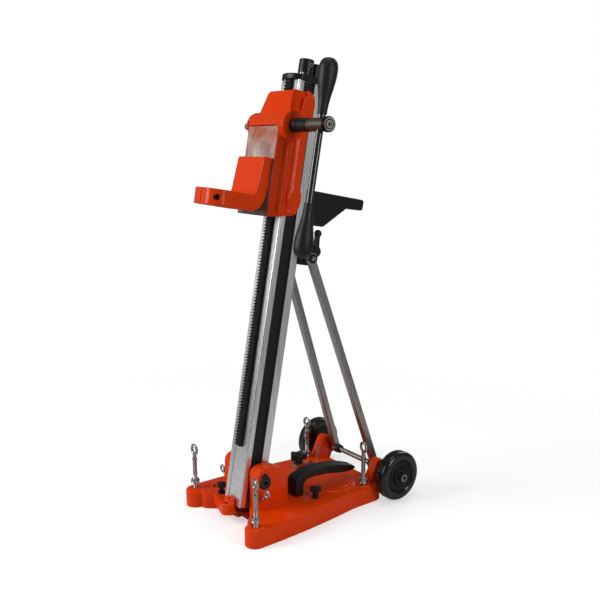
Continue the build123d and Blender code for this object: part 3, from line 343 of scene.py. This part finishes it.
def dark_plastic():
    """Dull dark grey plastic of the wheel hubs and channel strips; on the strips its dark also serves as
    painted shade deep in the column's channel.
    """
    p = Paints("dull_dark_plastic", (0.016, 0.016, 0.015), 0.55)
    dark, light = (0.006, 0.006, 0.006), (0.015, 0.015, 0.014)
    p.set("Specular IOR Level", 0.25)
    p.color(p.mix(p.noise(80.0, 4.0), dark, light))
    p.roughness(p.noise(120.0, 3.0), 0.3, 0.7, 0.45, 0.65)
    p.bump(p.noise(700.0, 2.0), strength=0.12, distance=0.0002)
    return p.material


def tyre_rubber():
    """Glossy, slightly uneven rubber of a new tyre."""
    p = Paints("tyre_rubber", (0.008, 0.008, 0.008), 0.20)
    dark, light = (0.003, 0.003, 0.003), (0.009, 0.009, 0.008)
    p.set("Specular IOR Level", 0.3)
    p.color(p.mix(p.noise(50.0, 4.0), dark, light))
    p.roughness(p.noise(60.0, 5.0), 0.35, 0.7, 0.13, 0.32)
    p.bump(p.noise(260.0, 3.0), strength=0.08, distance=0.0004)
    p.set("Coat Weight", 0.35)
    p.set("Coat Roughness", 0.10)
    return p.material


def brass(name, light, dark, roughness):
    """Cast brass or bronze, cloudy and slightly grained."""
    p = Paints(name, light, roughness, 0.9)
    p.color(p.mix(p.noise(90.0, 5.0), dark, light))
    p.roughness(p.noise(150.0, 3.0), 0.3, 0.7, roughness - 0.08, roughness + 0.10)
    p.bump(p.noise(400.0, 3.0), strength=0.14, distance=0.0003)
    return p.material


def red_plastic():
    """Red plastic of the hose fitting's insert."""
    p = Paints("red_insert", (0.50, 0.015, 0.012), 0.25)
    dark, light = (0.40, 0.010, 0.008), (0.60, 0.022, 0.016)
    p.color(p.mix(p.noise(150.0, 3.0), dark, light))
    p.bump(p.noise(500.0, 2.0), strength=0.06, distance=0.0002)
    return p.material


PAINT = orange_paint()
ZINC = zinc_steel()
COLUMN = drawn_aluminium("column_extrusion_metal", COLUMN_LEAN, (0.86, 0.855, 0.84), (0.66, 0.655, 0.64))
TUBES = drawn_aluminium("brace_tube_metal", BRACE_LEAN, (0.46, 0.445, 0.42), (0.30, 0.285, 0.265))
PLATE = mill_plate()
OXIDE = black_oxide()
RACK = rack_black()
HUB = hub_steel()
RIM = end_ring()
NYLON = black_plastic()
GLOSS = gloss_black()
DULL = dark_plastic()
TYRE = tyre_rubber()
BRASS = brass("valve_brass", (0.52, 0.38, 0.20), (0.36, 0.24, 0.12), 0.36)
BRONZE = brass("bearing_bronze", (0.17, 0.105, 0.055), (0.09, 0.055, 0.03), 0.42)
RED = red_plastic()

NODE_LOOKS = {
    PAINT: ["base_casting", "carriage_casting", "motor_holder"],
    ZINC: ["pivot_bolt", "wheel_axle", "axle_caps", "eye_screw_near", "eye_screw_far", "pointer_rod",
           "cap_screws", "rear_handle_screws", "jack_pin", "pinion_shaft", "hub_screw",
           "slider_bolts", "level_bolt_front_near", "level_bolt_front_far", "level_bolt_rear_near",
           "level_bolt_rear_far", "rear_post", "hose_fitting"],
    COLUMN: ["column_extrusion", "foot_insert"],
    TUBES: ["strut_near", "strut_far"],
    PLATE: ["carriage_plate"],
    OXIDE: ["axle_collars", "rack_screws", "cap_plate", "jack_screw", "clamp_screw",
            "hub_sleeve", "slider_bracket", "brace_washers", "rear_handle"],
    RACK: ["rack", "pinion_gear"],
    HUB: ["feed_hub"],
    RIM: ["hub_ring"],
    NYLON: ["carry_handle", "t_knob", "wing_screw", "star_knob", "upper_grip", "lower_grip", "clamp_lever",
            "pivot_plugs"],
    GLOSS: ["feed_bar"],
    # the channel strips are dark plastic, and their dark also serves as painted shade deep in the column's
    # channel
    DULL: ["guide_strips", "wheel_hub_near", "wheel_hub_far"],
    TYRE: ["tyre_near", "tyre_far"],
    BRASS: ["valve_block"],
    BRONZE: ["pivot_bushes", "guide_shoes", "shaft_bushes"],
    RED: ["hose_insert"],
}
for look, names in NODE_LOOKS.items():
    for name in names:
        nodes[name].material_slots[0].material = look


# ---- castings and handles, rounded over ---------------------------------------------------------

def finished(piece, body, node):
    """Hooks a new piece to a CAD body, in place of a CAD node."""
    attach(piece, body)
    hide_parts(node)


def rounded(node, body, look, voxel, passes):
    """A casting or moulding: the CAD node's shape with its edges and inner corners rounded over."""
    piece = bpy.data.objects.new("cast_" + node, nodes[node].data.copy())
    bpy.context.scene.collection.objects.link(piece)
    remesh = piece.modifiers.new("cells", "REMESH")
    remesh.mode = "VOXEL"
    remesh.voxel_size = voxel
    smooth = piece.modifiers.new("rounding", "SMOOTH")
    smooth.factor = 0.5
    smooth.iterations = passes
    shaped = bpy.data.meshes.new_from_object(piece.evaluated_get(bpy.context.evaluated_depsgraph_get()))
    piece.modifiers.clear()
    piece.data = shaped
    shaped.materials.clear()
    shaped.materials.append(look)
    shaped.shade_smooth()
    finished(piece, body, node)


rounded("base_casting", "base", PAINT, voxel=1.2 * MM, passes=6)
rounded("carriage_casting", "carriage", PAINT, voxel=1.0 * MM, passes=8)
rounded("motor_holder", "carriage", PAINT, voxel=1.0 * MM, passes=8)
rounded("carry_handle", "base", NYLON, voxel=1.0 * MM, passes=5)
rounded("rear_handle", "column", OXIDE, voxel=1.0 * MM, passes=6)


# ---- turned shapes, with radii and heights in millimetres ---------------------------------------

# the radius at which a profile ends on its axis, and the distance in metres under which points are welded
CLOSED = 0.01
WELD = 0.000002
SHARP = math.radians(40)


def mesh_object(name, vertices, faces, look):
    """A new object in the scene, made of the faces."""
    mesh = bpy.data.meshes.new(name)
    mesh.from_pydata(vertices, [], faces)
    mesh.materials.append(look)
    piece = bpy.data.objects.new(name, mesh)
    bpy.context.scene.collection.objects.link(piece)
    return piece


def frame_of(place, axis):
    """A matrix that puts a shape in millimetres at the place, with its Z along the axis."""
    turn = Vector(axis).to_track_quat("Z", "Y").to_matrix().to_4x4()
    return Matrix.Translation(place) @ turn @ Matrix.Scale(MM, 4)


def turned(profile, place, axis, segments, shape=None):
    """Vertices and faces of a closed ring profile of (radius, height) turned about an axis."""
    matrix = frame_of(place, axis)
    vertices, faces = [], []
    for radius, height in profile:
        for step in range(segments):
            angle = 2 * math.pi * step / segments
            reach = shape(angle, radius, height) if shape else radius
            vertices.append(matrix @ Vector((reach * math.cos(angle), reach * math.sin(angle), height)))
    rings = len(profile)
    for ring in range(rings):
        after = (ring + 1) % rings
        for step in range(segments):
            beyond = (step + 1) % segments
            faces.append((ring * segments + step, ring * segments + beyond,
                          after * segments + beyond, after * segments + step))
    return vertices, faces


def joined(name, shells, look):
    """One smooth piece with sharp edges, from several closed shells."""
    vertices, faces = [], []
    for shell_vertices, shell_faces in shells:
        start = len(vertices)
        vertices += shell_vertices
        faces += [tuple(start + index for index in face) for face in shell_faces]
    piece = mesh_object(name, vertices, faces, look)
    piece.data.shade_smooth()
    work = bmesh.new()
    work.from_mesh(piece.data)
    bmesh.ops.remove_doubles(work, verts=work.verts, dist=WELD)
    bmesh.ops.recalc_face_normals(work, faces=work.faces)
    work.to_mesh(piece.data)
    work.free()
    piece.data.set_sharp_from_angle(angle=SHARP)
    return piece


# ---- levelling bolts ----------------------------------------------------------------------------

THREAD_PITCH, THREAD_DEPTH, THREAD_STEPS = 1.5, 0.45, 6
# a nut's middle lies NUT_HALF from each of its six flats
NUT_HEIGHT, NUT_HALF, NUT_BORE, NUT_CHAMFER = 8.2, 8.3, 4.6, 0.9
EYE_HEIGHT, EYE_RADIUS, EYE_WIRE = 126.0, 10.0, 3.1
EYE_STEPS, WIRE_STEPS = 40, 16

# heights of the lower faces of the lock nuts and of the flanges at them
NUT_BOTTOM = {"front": 50.0, "rear": 47.2}
FLANGE_BOTTOM = {"front": 50.0, "rear": 44.6}


def threaded(bottom, top, core):
    """A profile and a shape for a shank with a helical thread between two heights."""
    count = int((top - bottom) / (THREAD_PITCH / THREAD_STEPS))
    profile = [(CLOSED, bottom)]
    profile += [(core, bottom + (top - bottom) * step / count) for step in range(count + 1)]
    profile += [(CLOSED, top)]
    run_out = 2 * THREAD_PITCH

    def shape(angle, radius, height):
        if radius == CLOSED:
            return radius
        turn = (height / THREAD_PITCH - angle / (2 * math.pi)) % 1.0
        ramp = min(1.0, (height - bottom) / run_out, (top - height) / run_out)
        return radius - THREAD_DEPTH * abs(2 * turn - 1) * max(0.0, ramp)

    return profile, shape


def hexagon(bottom):
    """A nut: a hexagon with its corners turned off at both faces."""
    top = bottom + NUT_HEIGHT
    face, corners = NUT_HALF * 0.96, NUT_HALF * 1.16
    profile = [(NUT_BORE, bottom), (face, bottom), (corners, bottom + NUT_CHAMFER),
               (corners, top - NUT_CHAMFER), (face, top), (NUT_BORE, top)]

    def shape(angle, radius, height):
        if radius == NUT_BORE:
            return radius
        beside = (angle % (math.pi / 3)) - math.pi / 6
        return min(radius, NUT_HALF / math.cos(beside))

    return profile, shape


def eye(place, axis):
    """A closed wire ring whose hole faces along the axis."""
    matrix = frame_of(place, axis)
    vertices, faces = [], []
    for step in range(EYE_STEPS):
        angle = 2 * math.pi * step / EYE_STEPS
        for part in range(WIRE_STEPS):
            turn = 2 * math.pi * part / WIRE_STEPS
            reach = EYE_RADIUS + EYE_WIRE * math.cos(turn)
            point = (reach * math.cos(angle), reach * math.sin(angle), EYE_WIRE * math.sin(turn))
            vertices.append(matrix @ Vector(point))
    for step in range(EYE_STEPS):
        here, ahead = step * WIRE_STEPS, ((step + 1) % EYE_STEPS) * WIRE_STEPS
        for part in range(WIRE_STEPS):
            beside = (part + 1) % WIRE_STEPS
            faces.append((here + part, ahead + part, ahead + beside, here + beside))
    return vertices, faces


def level_bolt(row, side, eye_degrees):
    """A levelling eye bolt: threaded foot, lock nut, turned shank with a collar, forged ring."""
    node = f"level_bolt_{row}_{side}"
    up = Vector((0.0, 0.0, 1.0))
    foot = middle(node)
    foot.z = 0.0
    eye_turn = math.radians(eye_degrees)
    tip = [(CLOSED, 1.2), (2.6, 1.2), (3.3, 2.0), (3.3, 4.6), (CLOSED, 4.6)]
    thread, thread_shape = threaded(bottom=4.0, top=72.0, core=4.95)
    shank = [(CLOSED, 70), (4.9, 70), (4.9, 74), (4.5, 75), (4.7, 100), (5.4, 102), (5.6, 104),
             (5.4, 106), (4.4, 108), (4.0, 112), (4.4, 117), (CLOSED, 117)]
    nut, nut_shape = hexagon(NUT_BOTTOM[row])
    flange_outline = [(NUT_BORE, 0), (9.6, 0), (9.9, 0.8), (9.2, 2.2), (8.0, 2.9), (NUT_BORE, 2.9)]
    flange = [(radius, FLANGE_BOTTOM[row] + height) for radius, height in flange_outline]
    shells = [turned(thread, foot, up, 40, thread_shape), turned(shank, foot, up, 40),
              turned(tip, foot, up, 32), turned(nut, foot, up, 72, nut_shape), turned(flange, foot, up, 48),
              eye(foot + up * EYE_HEIGHT * MM, (-math.sin(eye_turn), math.cos(eye_turn), 0))]
    bolt = joined(f"eye_bolt_{row}_{side}", shells, ZINC)
    finished(bolt, f"level bolt {row} {side}", node)


for bolt_row, bolt_side, degrees in (("front", "near", -15), ("front", "far", 0),
                                     ("rear", "near", -8), ("rear", "far", 0)):
    level_bolt(bolt_row, bolt_side, degrees)


# ---- wheels -------------------------------------------------------------------------------------

TYRE_SEAT, TYRE_BEAD, TYRE_FLANK = 36.3, 38.5, 44.0
TYRE_CHAMFER, TYRE_SHOULDER, TYRE_GAP = 2.0, 9.0, 0.2
SEAM_HALF, SEAM_FLOOR_HALF, SEAM_DEPTH = 1.6, 0.9, 0.7


def arc(center, radius, start, end, steps):
    """Points on an arc in a profile, as (radius, height), with angles in degrees from straight outward."""
    points = []
    for step in range(steps + 1):
        angle = math.radians(start + (end - start) * step / steps)
        points.append((center[0] + radius * math.cos(angle), center[1] + radius * math.sin(angle)))
    return points


def tyre_profile(side):
    """A round-shouldered tyre with a seam round its tread, a little inside the CAD tyre."""
    width, across, _ = size(f"tyre_{side}") / MM
    half = width / 2
    crown = across / 2 - TYRE_GAP
    lower = [(TYRE_SEAT, -half + TYRE_CHAMFER), (TYRE_BEAD, -half), (TYRE_FLANK, -half)]
    lower += arc((crown - TYRE_SHOULDER, -half + TYRE_SHOULDER), TYRE_SHOULDER, -80, -4, 9)
    lower += [(crown, -SEAM_HALF), (crown - SEAM_DEPTH, -SEAM_FLOOR_HALF)]
    return lower + [(radius, -height) for radius, height in reversed(lower)]


def hub_profile():
    """A stepped wheel hub: rim, dished web with a raised ring, boss and sealed bearing."""
    back = [(6.1, -14.6), (16, -14.6), (17, -11), (31, -9), (34, -13.5), (36.2, -13.5)]
    rim = [(36.2, 13.2), (35.2, 14.4), (33.8, 14.2), (32.4, 11.4)]
    web = [(29.5, 9.6), (25.6, 9.2), (24.4, 10.2), (22.8, 10.2), (21.6, 9.0), (20.0, 9.2)]
    boss = [(18.6, 13.6), (17.2, 14.8), (14.6, 14.8), (13.6, 13.2)]
    bearing = [(10.8, 13.2), (10.4, 16.2), (9.6, 17.4), (6.1, 17.4)]
    return back + rim + web + boss + bearing


def wheel(side, outward):
    """A wheel on the axle: a tyre and a hub whose outer face looks away from the stand."""
    axis = Vector((outward, 0.0, 0.0))
    place = Vector((middle(f"tyre_{side}").x, AXLE.y, AXLE.z))
    tyre = joined(f"tyre_round_{side}", [turned(tyre_profile(side), place, axis, 128)], TYRE)
    finished(tyre, f"wheel {side}", f"tyre_{side}")
    hub = joined(f"hub_turned_{side}", [turned(hub_profile(), place, axis, 96)], DULL)
    finished(hub, f"wheel {side}", f"wheel_hub_{side}")


wheel("near", 1)
wheel("far", -1)


# ---- studio -------------------------------------------------------------------------------------

# the floor is a square of twice its reach, and fades out between two distances from the origin
FLOOR_REACH = 2.0
FADE_START, FADE_END = 0.55, 1.25
FLOOR_GLOW = 0.5
AIR_STRENGTH = 0.16

# each light's name, place, the point that it faces, its width and height, and its power in watts
SOFT_BOXES = (
    ("key", (-1.1, -2.5, 1.5), (0, 0, 0.45), (1.3, 1.7), 57.0),
    ("side", (2.3, 0.3, 1.3), (0, 0, 0.5), (0.7, 1.5), 19.0),
    ("front card", (-2.2, -1.7, 0.9), (0, 0, 0.5), (0.9, 2.0), 1.9),
    ("side card", (2.1, 1.6, 0.6), (0, 0, 0.5), (1.2, 1.8), 1.2),
    ("top", (0.1, 0.0, 3.0), (0, 0, 0.3), (1.2, 1.2), 14.0),
    ("rim", (-0.9, 2.3, 1.5), (0, 0, 0.4), (0.9, 1.4), 12.0),
)


def floor():
    """A pale floor that fades into the white backdrop and glows a little for the camera alone."""
    p = Paints("studio_floor", (0.9, 0.9, 0.9), 0.9)
    p.color(p.mix(p.noise(3.0, 2.0), (0.70, 0.70, 0.70), (0.74, 0.74, 0.74)))
    away = p.distance((0.0, 0.0, 0.0))
    p.link(p.band(away, FADE_START, FADE_END, 1.0, 0.0), p.shader.inputs["Alpha"])
    p.set("Emission Color", (1.0, 1.0, 1.0, 1.0))
    seen_from_camera = p.tree.nodes.new("ShaderNodeLightPath").outputs["Is Camera Ray"]
    glow = p.band(seen_from_camera, 0.0, 1.0, 0.0, FLOOR_GLOW)
    p.link(glow, p.shader.inputs["Emission Strength"])
    p.set("Specular IOR Level", 0.0)
    corners = [(-FLOOR_REACH, -FLOOR_REACH, 0), (FLOOR_REACH, -FLOOR_REACH, 0),
               (FLOOR_REACH, FLOOR_REACH, 0), (-FLOOR_REACH, FLOOR_REACH, 0)]
    mesh_object("floor", corners, [(0, 1, 2, 3)], p.material)


def air():
    """A dim bluish room light, behind which the camera sees plain white."""
    world = bpy.data.worlds.new("studio_air")
    world.use_nodes = True
    tree = world.node_tree
    room = tree.nodes["Background"]
    room.inputs["Color"].default_value = (0.92, 0.95, 1.0, 1.0)
    room.inputs["Strength"].default_value = AIR_STRENGTH
    backdrop = tree.nodes.new("ShaderNodeBackground")
    backdrop.inputs["Strength"].default_value = 1.0
    backdrop.inputs["Color"].default_value = (1.0, 1.0, 1.0, 1.0)
    either = tree.nodes.new("ShaderNodeMixShader")
    rays = tree.nodes.new("ShaderNodeLightPath")
    tree.links.new(rays.outputs["Is Camera Ray"], either.inputs["Fac"])
    tree.links.new(room.outputs["Background"], either.inputs[1])
    tree.links.new(backdrop.outputs["Background"], either.inputs[2])
    tree.links.new(either.outputs["Shader"], tree.nodes["World Output"].inputs["Surface"])
    bpy.context.scene.world = world
    bpy.context.scene.view_settings.view_transform = "Standard"


def soft_box(name, place, target, sides, power):
    """A rectangular area light that faces a point."""
    light = bpy.data.lights.new(name, "AREA")
    light.shape = "RECTANGLE"
    light.size, light.size_y = sides
    light.energy = power
    lamp = bpy.data.objects.new(name, light)
    lamp.location = place
    lamp.rotation_euler = (Vector(target) - Vector(place)).to_track_quat("-Z", "Y").to_euler()
    bpy.context.scene.collection.objects.link(lamp)


floor()
air()
for box in SOFT_BOXES:
    soft_box(*box)


# ---- camera -------------------------------------------------------------------------------------

CAMERA_PLACE = (1.3321, -0.9740, 0.7856)
CAMERA_LENS, SENSOR_WIDTH = 47.9, 36.0
CAMERA_HEADING = math.radians(52.57)
CAMERA_PITCH = math.radians(78.75)
CAMERA_ROLL = math.radians(-0.288)
NEAREST_SEEN = 0.05


def camera():
    """The camera stands off the front on the near side, a little below the top of the stand."""
    data = bpy.data.cameras.new("camera")
    data.sensor_width = SENSOR_WIDTH
    data.lens = CAMERA_LENS
    data.clip_start = NEAREST_SEEN
    eye_piece = bpy.data.objects.new("camera", data)
    eye_piece.location = CAMERA_PLACE
    aim = Matrix.Rotation(CAMERA_HEADING, 4, "Z") @ Matrix.Rotation(CAMERA_PITCH, 4, "X")
    eye_piece.rotation_euler = (aim @ Matrix.Rotation(CAMERA_ROLL, 4, "Z")).to_euler()
    bpy.context.scene.collection.objects.link(eye_piece)
    bpy.context.scene.camera = eye_piece


camera()
